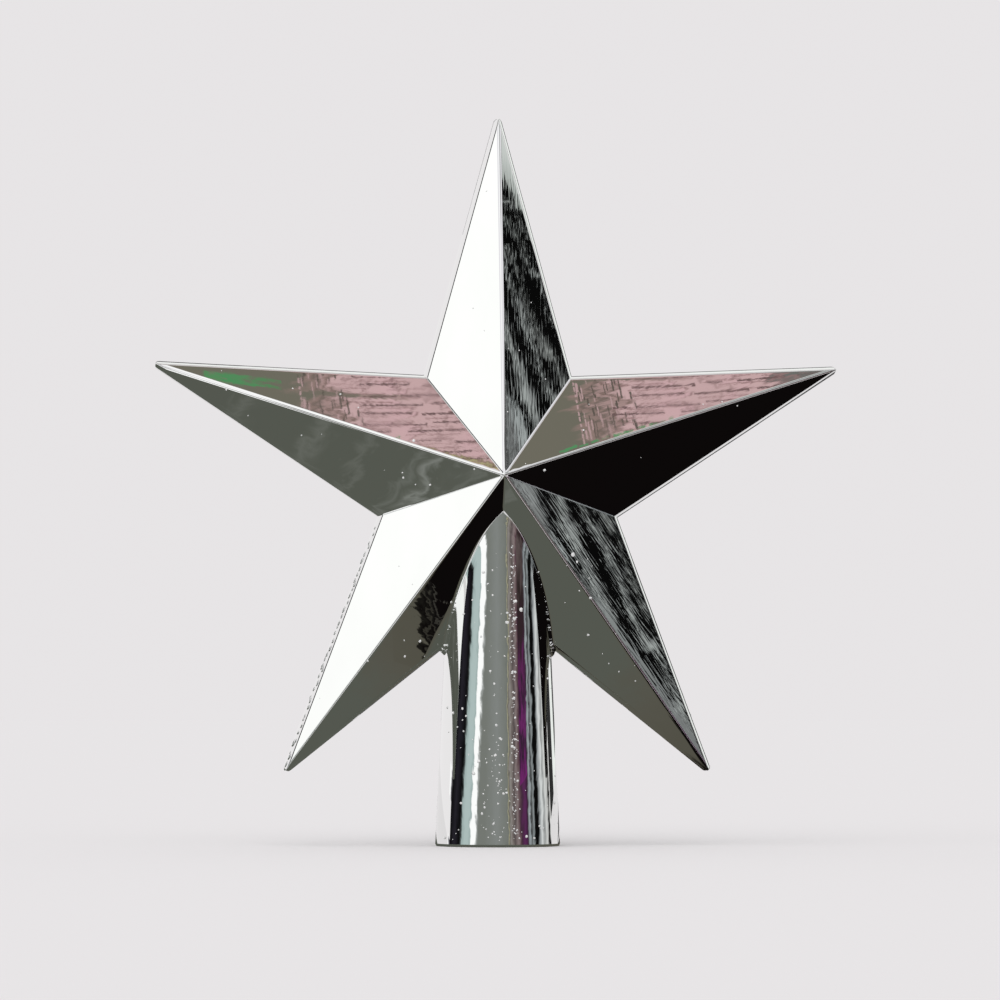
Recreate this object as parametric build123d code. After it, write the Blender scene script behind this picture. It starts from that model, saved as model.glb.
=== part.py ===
from build123d import *
import math
import os

# Christmas tree topper: a hollow five-pointed star with a tapered socket that slips over the tree's leader shoot.
# Two moulded half shells meet on the upright parting plane. Each carries half of the star and half of the socket.
# The rear shell's lip and pegs enter the front shell, and a bead of cement over the lip holds the two together.
# Millimetres, +Z up, the front of the star towards -Y, the origin at the centre of the socket's mouth.

# Star outline on the parting plane
point_count = 5
star_height = 100.7
point_reach = 102.2
valley_reach = 34.8
nose_radius = 1.2

# Facets and rim of one half, measured from the parting plane
apex_height = 17.0
rim_height = 2.6
rim_lean = 1.0
ridge_radius = 1.4
wall = 2.0

# Socket
bore_radius = 15.0
bore_taper_angle = 2.62
mouth_rounding = 0.6
neck_fillet = 0.8

# Lap joint round the rim, with its cement
lip_share = 0.5
lip_height = 1.5
lip_clearance = 0.1
cement_depth = 0.4

# Locating pegs, one in each point
peg_reach = 48.0
peg_radius = 1.5
peg_length = 5.0
peg_clearance = 0.1
peg_end_gap = 0.5
peg_boss_wall = 1.4

# Every cutting body runs past the faces that it cuts by this much
overrun = 5.0

# Worked out from the values above
half_step = math.pi / point_count
half_point = math.atan2(
    valley_reach * math.sin(half_step),
    point_reach - valley_reach * math.cos(half_step))
rim_foot = point_reach * math.sin(half_point)
facet_foot = rim_foot - rim_lean
facet_slope = (apex_height - rim_height) / facet_foot
facet_tilt = math.atan(facet_slope)
bore_taper = math.radians(bore_taper_angle)
mouth_radius = bore_radius + wall
lip_inset = wall * lip_share
point_headings = [math.pi / 2 + index * 2 * half_step for index in range(point_count)]


def on_star(reach, heading):
    """A place on the parting plane, at a reach from the star's centre."""
    return Vector(reach * math.cos(heading), star_height + reach * math.sin(heading), 0)


def star_pyramid(foot, height):
    """Plane facets that rise from a star outline, whose edges pass foot from the centre, to one peak."""
    grow = foot / rim_foot
    corners = []
    for heading in point_headings:
        corners.append(on_star(grow * point_reach, heading))
        corners.append(on_star(grow * valley_reach, heading + half_step))
    peak = Vector(0, star_height, height)
    sides = zip(corners, corners[1:] + corners[:1])
    facets = [Face(Wire.make_polygon([start, end, peak])) for start, end in sides]
    return Solid(Shell(facets + [Face(Wire.make_polygon(corners))]))


def half_star(inset):
    """One half of the star, with every face moved in by the inset: a steep rim below, facets above."""
    facets_height = apex_height - inset / math.cos(facet_tilt)
    facets = star_pyramid(facets_height / facet_slope, facets_height)
    rim = star_pyramid(rim_foot - inset, (rim_foot - inset) * rim_height / rim_lean)
    return facets & rim


def half_socket(inset, start):
    """One half of the tapered socket, from the start height up to the star's centre."""
    mouth_here = mouth_radius - inset / math.cos(bore_taper)
    outline = Polyline(
        (0, start),
        (start * math.tan(bore_taper) - mouth_here, start),
        (star_height * math.tan(bore_taper) - mouth_here, star_height),
        (0, star_height),
        close=True)
    return revolve(make_face(outline), axis=Axis.Y, revolution_arc=180)


def inner_half(inset):
    """The space at an inset inside one half, open through the socket's mouth."""
    return half_star(inset) + half_socket(inset, -overrun)


def ridge_cutter():
    """What rounding takes off the upper point's ridge: the strip over an arc tangent to both facets."""
    fall = math.atan2(apex_height - rim_height, facet_foot / math.sin(half_point))
    half_turn = math.asin(math.sin(facet_tilt) * math.cos(half_point))
    across_ridge = Plane(
        origin=(0, star_height, apex_height),
        x_dir=(-1, 0, 0),
        z_dir=(0, math.cos(fall), -math.sin(fall)))
    side = ridge_radius * math.sin(half_turn)
    centre = -ridge_radius / math.cos(half_turn)
    tangent = centre + ridge_radius * math.cos(half_turn)
    outline = [
        Polyline((-side, tangent), (-side, overrun), (side, overrun), (side, tangent)),
        ThreePointArc((side, tangent), (0, centre + ridge_radius), (-side, tangent)),
    ]
    return extrude(across_ridge * make_face(outline), amount=point_reach + overrun, both=True)


def nose_cutter():
    """What rounding takes off the end of the upper point, in plan."""
    seat = Pos(on_star(point_reach - nose_radius / math.sin(half_point), math.pi / 2))
    depth = 2 * (rim_height + overrun)
    corner = Box(2 * nose_radius + overrun, point_reach, depth, align=(Align.CENTER, Align.MIN, Align.CENTER))
    return seat * (corner - Cylinder(nose_radius, depth))


def outer_half():
    """The outside of one half: rounded ridges and points, and a star that runs into the socket in a fillet."""
    centre = Pos(on_star(0, 0))
    upper_point = centre.inverse() * (ridge_cutter() + nose_cutter())
    turns = [Rot(0, 0, math.degrees(2 * half_step * index)) for index in range(point_count)]
    star = half_star(0) - [centre * turn * upper_point for turn in turns]
    socket = half_socket(0, 0)
    mouth_edge = socket.edges().filter_by(GeomType.CIRCLE).sort_by(Axis.Y)[0]
    body = star + fillet(mouth_edge, mouth_rounding)
    socket_face = body.faces().filter_by(GeomType.CONE).sort_by(SortBy.AREA)[-1]
    return fillet(socket_face.edges().filter_by(GeomType.ELLIPSE), neck_fillet)


def lap_ring(inside, inset, start, depth):
    """The band of wall between an inset and the inside, over some depth from a start above the parting plane."""
    reach = 4 * point_reach
    band = Pos(0, 0, start) * Box(reach, reach, depth, align=(Align.CENTER, Align.MIN, Align.MIN))
    return (inner_half(inset) - inside) & band


def peg_places():
    """The middle of each peg on the parting plane."""
    return [Pos(on_star(peg_reach, heading)) for heading in point_headings]


def bosses(radius):
    """Round posts that reach from the parting plane into the facets."""
    post = Cylinder(radius, apex_height, align=(Align.CENTER, Align.CENTER, Align.MIN))
    return [half_star(lip_inset) & (place * post) for place in peg_places()]


def front_half(plain_half, inside):
    """The front shell: a recess for the lip round its rim and a bored boss for each peg."""
    bore_here = peg_radius + peg_clearance
    recess = lap_ring(inside, lip_inset, 0, lip_height + cement_depth)
    bore = Cylinder(bore_here, 2 * (peg_length + peg_end_gap))
    shell = plain_half - recess + bosses(bore_here + peg_boss_wall)
    return shell - [place * bore for place in peg_places()]


def rear_half(plain_half, inside):
    """The rear shell: a lip round its rim and a peg on each boss, both past the parting plane."""
    lip = mirror(lap_ring(inside, lip_inset + lip_clearance, 0, lip_height), Plane.XY)
    peg = Cylinder(peg_radius, peg_length, align=(Align.CENTER, Align.CENTER, Align.MAX))
    shell = plain_half + lip + bosses(peg_radius + peg_boss_wall)
    return shell + [place * peg for place in peg_places()]


def cement_bead(inside):
    """The bead of cement between the lip's end and the bottom of the front shell's recess."""
    return lap_ring(inside, lip_inset, lip_height, cement_depth)


inside = inner_half(wall)
plain_half = outer_half() - inside
to_front = Rot(90, 0, 0)
to_rear = Rot(0, 0, 180) * to_front
nodes = {
    "front_shell": to_front * front_half(plain_half, inside),
    "rear_shell": to_rear * rear_half(plain_half, inside),
    "seam_cement": to_front * cement_bead(inside),
}

os.makedirs("parts", exist_ok=True)
for name, body in nodes.items():
    print(name, "solids", len(body.solids()), "volume", round(body.volume, 1), "valid", body.is_valid)
    export_step(body, f"parts/{name}.step")
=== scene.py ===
"""Looks of a mirror-silver tree topper star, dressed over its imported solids.

The solids stay as the two bare mouldings and their cement. Each moulding gets its plating as a thin closed skin that
follows its outside, with the small pimples and drips that such plating has. Lengths are in millimetres until a mesh
is made, and the frame is the solids' own: +Z up, the star's front towards -Y.
"""

import logging
import math
from collections.abc import Callable
from dataclasses import dataclass, field
from enum import Enum

import bmesh
import bpy
import numpy as np
from mathutils import Matrix, Vector


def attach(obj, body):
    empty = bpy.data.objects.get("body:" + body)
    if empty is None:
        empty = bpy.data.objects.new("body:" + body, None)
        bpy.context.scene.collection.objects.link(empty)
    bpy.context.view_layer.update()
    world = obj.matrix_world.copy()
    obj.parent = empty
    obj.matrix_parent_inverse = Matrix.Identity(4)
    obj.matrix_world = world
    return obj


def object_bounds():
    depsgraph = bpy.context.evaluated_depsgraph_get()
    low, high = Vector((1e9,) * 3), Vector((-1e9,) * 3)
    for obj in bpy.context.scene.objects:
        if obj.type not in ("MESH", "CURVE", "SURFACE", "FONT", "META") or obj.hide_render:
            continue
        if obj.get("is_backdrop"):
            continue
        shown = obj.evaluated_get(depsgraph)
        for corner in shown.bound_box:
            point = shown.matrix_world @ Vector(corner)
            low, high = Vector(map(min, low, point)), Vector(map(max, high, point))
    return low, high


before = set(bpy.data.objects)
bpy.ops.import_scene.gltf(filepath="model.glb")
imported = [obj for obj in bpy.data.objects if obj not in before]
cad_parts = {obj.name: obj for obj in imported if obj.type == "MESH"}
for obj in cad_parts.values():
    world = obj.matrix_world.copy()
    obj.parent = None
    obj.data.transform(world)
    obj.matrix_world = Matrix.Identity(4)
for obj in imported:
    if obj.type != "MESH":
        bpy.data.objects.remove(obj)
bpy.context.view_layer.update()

MM = 0.001
BODY = "root"
FIRST_SEED = 41
LOG = logging.getLogger("topper")

Triple = tuple[float, float, float]
Colour = Triple
Range = tuple[float, float]
Patch = tuple[Range, Range]
Stop = tuple[float, Colour]
Faces = list[tuple[int, ...]]
Socket = bpy.types.NodeSocket


class Side(Enum):
    """Half of the topper, with its turn about the upright axis."""

    FRONT = 0.0
    REAR = math.pi


class Reach(Enum):
    """Rays that meet a stage piece."""

    ALL = "all"
    REFLECTIONS = "reflections"


def smooth_max(first: np.ndarray, second: np.ndarray, width: float | np.ndarray) -> np.ndarray:
    """Takes the greater of two distances, with the change-over rounded.

    Args:
        first: Signed distances to one face.
        second: Signed distances to the other face.
        width: Difference of the two below which they blend.

    Returns:
        Signed distances to the corner that the two faces make.
    """
    blend = np.maximum(width - np.abs(first - second), 0.0)
    return np.maximum(first, second) + blend * blend / (4.0 * width)


def smooth_min(first: np.ndarray, second: np.ndarray, width: float | np.ndarray) -> np.ndarray:
    """Takes the smaller of two distances, with the change-over rounded as smooth_max does it."""
    return -smooth_max(-first, -second, width)


def turned(angle: float) -> np.ndarray:
    """Turn in plan by an angle, as a two by two matrix."""
    return np.array([[math.cos(angle), -math.sin(angle)], [math.sin(angle), math.cos(angle)]])


def unit(rows: np.ndarray) -> np.ndarray:
    """Brings each row to a length of one."""
    return rows / np.linalg.norm(rows, axis=1)[:, None]


def halved(low: float, high: float, short: Callable[[float], bool]) -> float:
    """Closes in on the value at which a test stops holding.

    Args:
        low: A value for which the test holds.
        high: A value for which it does not.
        short: The test.

    Returns:
        The last value for which it held.
    """
    for _ in range(60):
        middle = (low + high) / 2
        low, high = (middle, high) if short(middle) else (low, middle)
    return low


def finished(mesh: bmesh.types.BMesh, name: str, dress: bpy.types.Material) -> bpy.types.Mesh:
    """Takes a mesh out of its editing form.

    Args:
        mesh: The mesh, which is freed.
        name: Name of the new mesh.
        dress: Its material.

    Returns:
        The new mesh.
    """
    data = bpy.data.meshes.new(name)
    mesh.to_mesh(data)
    mesh.free()
    data.materials.append(dress)
    return data


def set_piece(name: str, data: bpy.types.Mesh, side: Side) -> bpy.types.Object:
    """Puts a mesh on one half, where it rides with the topper.

    Args:
        name: Name of the piece.
        data: Its mesh, as it lies on the front half.
        side: The half.

    Returns:
        The new object.
    """
    piece = bpy.data.objects.new(name, data)
    piece.rotation_euler.z = side.value
    bpy.context.scene.collection.objects.link(piece)
    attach(piece, BODY)
    return piece


def set_stage(name: str, data: bpy.types.Mesh, reach: Reach) -> bpy.types.Object:
    """Puts a mesh in the scene as a stage piece.

    Args:
        name: Name of the piece.
        data: Its mesh.
        reach: Rays that meet it.

    Returns:
        The new object.
    """
    piece = bpy.data.objects.new(name, data)
    bpy.context.scene.collection.objects.link(piece)
    if reach is Reach.REFLECTIONS:
        for rays in ("camera", "diffuse", "transmission", "volume_scatter", "shadow"):
            setattr(piece, f"visible_{rays}", False)
    piece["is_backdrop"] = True
    return piece


@dataclass(frozen=True)
class TopperForm:
    """Outside of one half of the topper as signed distances, with the sizes that its solid has.

    Places are rows of (across, up from the star's centre, out of the parting plane). The star's points are numbered
    counter-clockwise from the upper one.
    """

    point_count: int = 5
    star_height: float = 100.7
    point_reach: float = 102.2
    valley_reach: float = 34.8
    nose_radius: float = 1.2
    apex_height: float = 17.0
    rim_height: float = 2.6
    rim_lean: float = 1.0
    mouth_radius: float = 17.0
    bore_radius: float = 15.0
    taper: float = math.radians(2.62)
    mouth_rounding: float = 0.6
    ridge_width: float = 0.6
    valley_width: float = 0.2
    edge_width: float = 0.2
    neck_radius: float = 1.15
    probe: float = 1e-3
    least_slope: float = 0.05

    @property
    def half_step(self) -> float:
        """Angle between a point's ridge and the valley beside it, in plan."""
        return math.pi / self.point_count

    @property
    def half_point(self) -> float:
        """Angle between a point's ridge and its edge, in plan."""
        side = self.valley_reach * math.sin(self.half_step)
        return math.atan2(side, self.point_reach - self.valley_reach * math.cos(self.half_step))

    @property
    def swing(self) -> float:
        """Angle in plan between straight down and the way that a facet beside the lower valley faces."""
        return math.pi / 2 - self.half_step - self.half_point

    @property
    def rim_foot(self) -> float:
        """Distance from the star's centre to its edge lines on the parting plane."""
        return self.point_reach * math.sin(self.half_point)

    @property
    def slope(self) -> float:
        """Fall of a facet for each millimetre towards its edge."""
        return (self.apex_height - self.rim_height) / (self.rim_foot - self.rim_lean)

    @property
    def tilt(self) -> float:
        """Angle between a facet and the parting plane."""
        return math.atan(self.slope)

    @property
    def nose_seat(self) -> float:
        """Reach of the middle of a point's rounded end."""
        return self.point_reach - self.nose_radius / math.sin(self.half_point)

    @property
    def stand(self) -> Matrix:
        """Turn and lift from (across, up, out) to the frame, still in millimetres."""
        return Matrix(((1, 0, 0, 0), (0, 0, -1, 0), (0, 1, 0, self.star_height), (0, 0, 0, 1)))

    def heading(self, point: int | np.ndarray) -> float | np.ndarray:
        """Direction of a point's ridge in plan."""
        return math.pi / 2 + 2 * self.half_step * point

    def radius(self, height: float | np.ndarray) -> float | np.ndarray:
        """Outside radius of the socket at a height above its mouth."""
        return self.mouth_radius - height * math.tan(self.taper)

    def on_socket(self, turn: float, height: float) -> np.ndarray:
        """Place on the socket at a turn from straight in front and a height above its mouth."""
        reach = self.radius(height)
        return np.array([reach * math.sin(turn), height - self.star_height, reach * math.cos(turn)])

    def point(self, along: np.ndarray, aside: np.ndarray, out: np.ndarray) -> np.ndarray:
        """Measures the distance to one of the star's points.

        Args:
            along: Distances from the star's centre along the point's ridge, in plan.
            aside: Distances to the side of that ridge.
            out: Distances out of the parting plane.

        Returns:
            Signed distances, negative inside.
        """
        sine, cosine = math.sin(self.half_point), math.cos(self.half_point)
        near, far = along * sine + np.abs(aside) * cosine, along * sine - np.abs(aside) * cosine
        flat, fall = math.cos(self.tilt), out - self.apex_height
        facets = smooth_max((fall + self.slope * near) * flat, (fall + self.slope * far) * flat, self.ridge_width)
        steep = math.cos(math.atan(self.rim_lean / self.rim_height))
        lean = out * self.rim_lean / self.rim_height - self.rim_foot
        rims = smooth_max((near + lean) * steep, (far + lean) * steep, self.edge_width)
        past = along - self.nose_seat
        rounded = np.hypot(past, aside) - self.nose_radius
        nose = np.where(np.abs(aside) * sine < past * cosine, rounded, near - self.rim_foot)
        return smooth_max(smooth_max(facets, rims, self.edge_width), nose, self.edge_width)

    def nearest_point(self, across: np.ndarray, up: np.ndarray) -> np.ndarray:
        """Number of the star's point that each place belongs to."""
        turn = np.arctan2(up, across) - math.pi / 2
        return np.round(turn / (2 * self.half_step)).astype(int) % self.point_count

    def own_directions(self, across: np.ndarray, up: np.ndarray) -> tuple[np.ndarray, np.ndarray]:
        """Turns places in plan into the directions of their own point.

        Args:
            across: Distances to the right of the star's centre.
            up: Distances above it.

        Returns:
            Distances along the point's ridge and to the side of it.
        """
        heading = self.heading(self.nearest_point(across, up))
        along = across * np.cos(heading) + up * np.sin(heading)
        return along, up * np.cos(heading) - across * np.sin(heading)

    def star(self, places: np.ndarray) -> np.ndarray:
        """Measures the distance to the star, whose points join in rounded valleys.

        Args:
            places: Rows of (across, up, out).

        Returns:
            Signed distances, negative inside.
        """
        across, up, out = np.moveaxis(places, -1, 0)
        along, aside = self.own_directions(across, up)
        step, aside = 2 * self.half_step, np.abs(aside)
        next_along = along * math.cos(step) + aside * math.sin(step)
        next_aside = aside * math.cos(step) - along * math.sin(step)
        own, beside = self.point(along, aside, out), self.point(next_along, next_aside, out)
        return smooth_min(own, beside, self.valley_width)

    def socket(self, places: np.ndarray) -> np.ndarray:
        """Measures the distance to the tapered socket, which ends inside the star.

        Args:
            places: Rows of (across, up, out).

        Returns:
            Signed distances, negative inside.
        """
        across, up, out = np.moveaxis(places, -1, 0)
        wall = (np.hypot(across, out) - self.radius(up + self.star_height)) * math.cos(self.taper)
        return np.maximum(wall, up)

    def neck_width(self, places: np.ndarray) -> np.ndarray:
        """Works out the blend that gives the neck an even fillet, from the angle at which star and socket meet.

        Args:
            places: Rows of (across, up, out).

        Returns:
            Width of the blend at each.
        """
        across, _, out = np.moveaxis(places, -1, 0)
        turn = np.arctan2(np.abs(across), np.abs(out))
        sideways = -math.sin(self.swing) * np.sin(turn) - math.cos(self.swing) * math.sin(self.taper)
        meeting = math.sin(self.tilt) * sideways + math.cos(self.tilt) * np.cos(turn)
        return self.neck_radius * (1.0 - meeting)

    def outside(self, places: np.ndarray) -> np.ndarray:
        """Measures the distance to star and socket together, with a fillet at the neck."""
        return smooth_min(self.star(places), self.socket(places), self.neck_width(places))

    def gradient(self, places: np.ndarray) -> np.ndarray:
        """Slope of the distance in each direction, which points straight out of the surface."""
        rises = [self.outside(places + axis) - self.outside(places - axis) for axis in np.eye(3) * self.probe]
        return np.stack(rises, -1) / (2 * self.probe)

    def nearer(self, places: np.ndarray, proud: float, stride: float = math.inf) -> np.ndarray:
        """Moves places straight towards the surface.

        Args:
            places: Places near it.
            proud: How far the wanted surface stands off the moulding.
            stride: Longest move in each direction.

        Returns:
            The moved places.
        """
        slope = self.gradient(places)
        miss = self.outside(places) - proud
        step = slope * (miss / np.maximum((slope**2).sum(-1), self.least_slope))[:, None]
        return places - np.clip(step, -stride, stride)


@dataclass(frozen=True)
class Row:
    """One line of the plating's mesh, at an even depth round the star.

    Attributes:
        depth: Distance out of the parting plane.
        edge: Distance in plan from the star's centre to the line's straight run.
        proud: How far the skin stands off the moulding there.
        on_facet: True above the rim's edge.
    """

    depth: float
    edge: float
    proud: float
    on_facet: bool


@dataclass
class Plating:
    """Plating of the two halves: on each a closed skin over the half's facets, rim and socket.

    Attributes:
        proud: How far the skin's outside stands off the moulding.
        under: How far its inside does.
        crown_edges: Rows round the peak, by their distance from it.
        neck_turns: Rows that meet the socket, by their turn round it in degrees.
        rim_depths: Rows at the rim, by their depth.
        seam_depth: Depth below which a row draws in towards the seam.
        ridge_steps: First columns of a row, by their distance from the ridge.
        valley_steps: Last columns of a row, by their distance from the valley.
        ridge_share: Most of a row that the first columns take up.
        rim_rounding: Depth below which the rim's normals turn outwards.
        wavy_facets: Facets with deep flow lines, as point and whether on the left of its ridge.
        calm_depth: Depth of the flow lines elsewhere, as a share.
        point_flow: Shift of the flow lines from one point to the next.
        socket_flow: Shift of the socket's flow lines.
        bore_gap: How far the skin stays off the bore.
        settle_rounds: Rounds of settling onto the surface.
        settle_stride: Longest move in one round.
        settle_rate: Least rate of approach that is reckoned with.
        weld_cells: Cells to a millimetre, within which points join.
        weld_shift: Shift of those cells that keeps points off their borders.
    """

    form: TopperForm = field(default_factory=TopperForm)
    proud: float = 0.1
    under: float = 0.03
    crown_edges: tuple[float, ...] = (0.0, 0.25, 0.6, 1.1, 1.8, 2.8, 4.0, 5.4, 6.6)
    neck_turns: tuple[float, ...] = (7, 11, 15, 19, 23, 27, 31, 35, 39, 43, 47, 51, 55, 59, 63, 67, 71)
    rim_depths: tuple[float, ...] = (3.6, 3.1, 2.8, 2.7, 2.6, 2.52, 2.4, 2.2, 1.7, 1.1, 0.6, 0.3, 0.15, 0.06)
    seam_depth: float = 0.1
    ridge_steps: tuple[float, ...] = (0.0, 0.25, 0.5, 0.8, 1.15, 1.55, 2.0, 2.5)
    valley_steps: tuple[float, ...] = (1.0, 0.7, 0.45, 0.3, 0.15, 0.0)
    ridge_share: float = 0.3
    facet_columns: int = 10
    socket_rows: int = 22
    mouth_rows: int = 7
    rim_rounding: float = 1.2
    wavy_facets: tuple[tuple[int, bool], ...] = ((0, False), (3, True))
    calm_depth: float = 0.06
    point_flow: Range = (120.0, 50.0)
    socket_flow: Range = (700.0, 300.0)
    bore_gap: float = 0.02
    settle_rounds: int = 24
    settle_stride: float = 0.15
    settle_rate: float = 0.1
    weld_cells: float = 500.0
    weld_shift: float = 0.3719

    def facet_depth(self, drop: float) -> float:
        """Depth of the lower valley's line at a drop below the star's centre."""
        return self.form.apex_height - self.form.slope * math.cos(self.form.swing) * drop

    def arch_drop(self) -> float:
        """Finds how far below the star's centre the socket's front comes out of the lower valley."""
        form = self.form
        return halved(
            0.0, form.valley_reach, lambda drop: self.facet_depth(drop) > form.radius(form.star_height - drop)
        )

    def facet_row(self, edge: float) -> Row:
        """One row on the facets."""
        return Row(self.form.apex_height - self.form.slope * edge, edge, self.proud, True)

    def rows(self) -> tuple[list[Row], int]:
        """Lists the rows from the star's peak to the parting plane.

        Returns:
            The rows, and the number of the row that meets the top of the socket's arch.
        """
        form, drop = self.form, self.arch_drop()
        listed = [self.facet_row(edge) for edge in self.crown_edges]
        first = len(listed)
        listed.append(self.facet_row((form.apex_height - self.facet_depth(drop)) / form.slope))
        for turn in map(math.radians, self.neck_turns):
            radius = form.radius(form.star_height - drop)
            for _ in range(self.settle_rounds):
                edge = (form.apex_height - radius * math.cos(turn)) / form.slope
                fall = (edge + math.sin(form.swing) * radius * math.sin(turn)) / math.cos(form.swing)
                radius = form.radius(form.star_height - fall)
            listed.append(self.facet_row(edge))
        for depth in self.rim_depths:
            if depth >= form.rim_height:
                listed.append(self.facet_row((form.apex_height - depth) / form.slope))
            else:
                edge = form.rim_foot - depth * form.rim_lean / form.rim_height
                proud = self.proud if depth > self.seam_depth else (self.proud + self.under) / 2
                listed.append(Row(depth, edge, proud, False))
        return listed, first

    def path(self, row: Row, runs: np.ndarray) -> tuple[np.ndarray, np.ndarray]:
        """Follows a row from a point's ridge towards the valley, in the point's own directions.

        Args:
            row: The row to follow.
            runs: Distances along the row.

        Returns:
            Places in plan as (along, aside), and the way out of the outline at each.
        """
        form = self.form
        sine, cosine = math.sin(form.half_point), math.cos(form.half_point)
        start = np.array([row.edge / sine, 0.0])
        swept = 0.0
        inset = (form.rim_foot - row.edge) / form.nose_radius
        if not row.on_facet and inset < 1.0 - sine:
            swept = math.pi / 2 - form.half_point - math.acos(1.0 - inset)
            start = np.array([form.nose_seat, 0.0]) + form.nose_radius * turned(swept)[:, 0]
        bend = form.nose_radius * swept
        beyond = np.maximum(runs - bend, 0.0)[:, None]
        straight = start + beyond * np.array([-cosine, sine])
        turn = np.minimum(runs, bend) / form.nose_radius
        radial = np.stack([np.cos(turn), np.sin(turn)], -1)
        curved = np.array([form.nose_seat, 0.0]) + form.nose_radius * radial
        on_bend = (runs < bend)[:, None]
        return np.where(on_bend, curved, straight), np.where(on_bend, radial, [[sine, cosine]])

    def spot(self, row: Row, run: float) -> np.ndarray:
        """Place in plan at one distance along a row, in the point's own directions."""
        return self.path(row, np.array([run]))[0][0]

    def run_length(self, row: Row) -> float:
        """Measures a row.

        Args:
            row: The row.

        Returns:
            Its length from the ridge to the valley.
        """
        sine, cosine = math.sin(self.form.half_point), math.cos(self.form.half_point)
        end = row.edge / (sine + math.tan(self.form.half_step) * cosine)
        if row.on_facet:
            return (row.edge / sine - end) / cosine
        return halved(0.0, 2 * self.form.point_reach, lambda run: self.spot(row, run)[0] > end)

    def columns(self, length: float, stop: float, tail: tuple[float, ...]) -> np.ndarray:
        """Spaces a row's mesh points.

        Args:
            length: Length that the spacing near the ridge is fitted to.
            stop: Where the row ends.
            tail: Distances of the last points from the end.

        Returns:
            Distances along the row.
        """
        scale = min(1.0, self.ridge_share * length / self.ridge_steps[-1])
        head = np.array(self.ridge_steps) * scale
        foot = stop - np.array(tail) * scale
        middle = np.linspace(head[-1], foot[0], self.facet_columns + 2)[1:-1]
        return np.concatenate([head, middle, foot])

    def settle(self, places: np.ndarray, ways: np.ndarray, proud: float) -> np.ndarray:
        """Moves mesh points along given ways until they lie on the plating's surface.

        Args:
            places: Points near the surface.
            ways: Unit direction for each point.
            proud: How far the surface stands off the moulding.

        Returns:
            The settled points.
        """
        measure, probe = self.form.outside, self.form.probe
        for _ in range(self.settle_rounds):
            miss = measure(places) - proud
            rate = (measure(places + ways * probe) - measure(places - ways * probe)) / (2 * probe)
            rate = np.where(np.abs(rate) < self.settle_rate, self.settle_rate, rate)
            places = places - ways * np.clip(miss / rate, -self.settle_stride, self.settle_stride)[:, None]
        return places

    def lay(self, row: Row, runs: np.ndarray, spin: np.ndarray, end_way: np.ndarray | None) -> np.ndarray:
        """Lays one row of points on the surface.

        Args:
            row: The row.
            runs: Distances along it.
            spin: Turn in plan from the point's own directions.
            end_way: Direction in plan that the last point may move in, if not straight out of the outline.

        Returns:
            Points as (across, up, out).
        """
        flat, ways = self.path(row, runs)
        flat, ways = flat @ spin.T, ways @ spin.T
        places = np.column_stack([flat, np.full(len(flat), row.depth)])
        if row.on_facet:
            outward = np.tile([0.0, 0.0, 1.0], (len(flat), 1))
        else:
            ways[0] = spin[:, 0]
            if end_way is not None:
                ways[-1] = end_way
            outward = np.column_stack([ways, np.zeros(len(flat))])
        return self.settle(places, outward, row.proud)

    def facet(self, rows: list[Row], spin: np.ndarray, valley: float) -> list[np.ndarray]:
        """Meshes a facet as far as the valley on its left.

        Args:
            rows: The rows from the peak on.
            spin: Turn in plan from the point's own directions.
            valley: Direction of the valley in plan.

        Returns:
            For each row, its points as (across, up, out).
        """
        grid = []
        for row in rows:
            length = self.run_length(row)
            runs = self.columns(length, length, self.valley_steps)
            grid.append(self.lay(row, runs, spin, turned(valley)[:, 0]))
        return grid

    def neck_facet(self, rows: list[Row], first: int) -> list[np.ndarray]:
        """Meshes the facet left of the socket, the fillet and that quarter of the socket down to its mouth.

        Args:
            rows: All rows from peak to parting plane.
            first: Number of the row at the top of the socket's arch.

        Returns:
            For each row, its points as (across, up, out). Rows from the first on run down the socket.
        """
        spin = turned(-math.pi / 2 - self.form.half_step)
        grid = self.facet(rows[:first], spin, -math.pi / 2)
        for line in grid:
            line[-1][0] = 0.0
        for number, row in enumerate(rows[first:]):
            length = self.run_length(row)
            corner = self.crossing(row, spin, length, 0.0) if number else length
            leave = self.crossing(row, spin, corner, 1.0)
            star_part = self.lay(row, self.columns(length, leave, (0.0,)), spin, None)
            knee = np.append(self.spot(row, corner) @ spin.T, row.depth)
            line = np.vstack([star_part, self.neck_run(row, star_part[-1], knee)])
            if number == 0:
                line[len(star_part) + len(self.valley_steps) - 2 :, 0] = 0.0
            grid.append(line)
        return grid

    def crossing(self, row: Row, spin: np.ndarray, high: float, share: float) -> float:
        """Finds how far along a row its distance to the socket falls to a share of the fillet's width.

        Args:
            row: The row.
            spin: Turn in plan from the point's own directions.
            high: Distance along the row that is past the place.
            share: Share of the fillet's width.

        Returns:
            The distance along the row.
        """

        def clear(run: float) -> bool:
            """Tells whether a distance along the row is short of the place."""
            place = np.append(self.spot(row, run) @ spin.T, row.depth)[None]
            return self.form.socket(place)[0] > share * self.form.neck_width(place)[0]

        return halved(0.0, high, clear)

    def neck_run(self, row: Row, start: np.ndarray, knee: np.ndarray) -> np.ndarray:
        """Runs one line of the mesh over the fillet, down the socket and round its mouth.

        Args:
            row: The row that the line carries on.
            start: Last point on the star.
            knee: Where the row's line meets the socket.

        Returns:
            Points as (across, up, out), from the fillet to the bore's edge.
        """
        form = self.form
        turn = math.atan2(-knee[0], knee[2])
        round_way = np.array([-math.sin(turn), 0.0, math.cos(turn)])

        def on_skin(height: np.ndarray) -> np.ndarray:
            """Places on the plating of the socket at heights above its mouth."""
            up = np.outer(height + row.proud * math.sin(form.taper) - form.star_height, (0.0, 1.0, 0.0))
            return round_way * (form.radius(height) + row.proud * math.cos(form.taper))[:, None] + up

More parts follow.
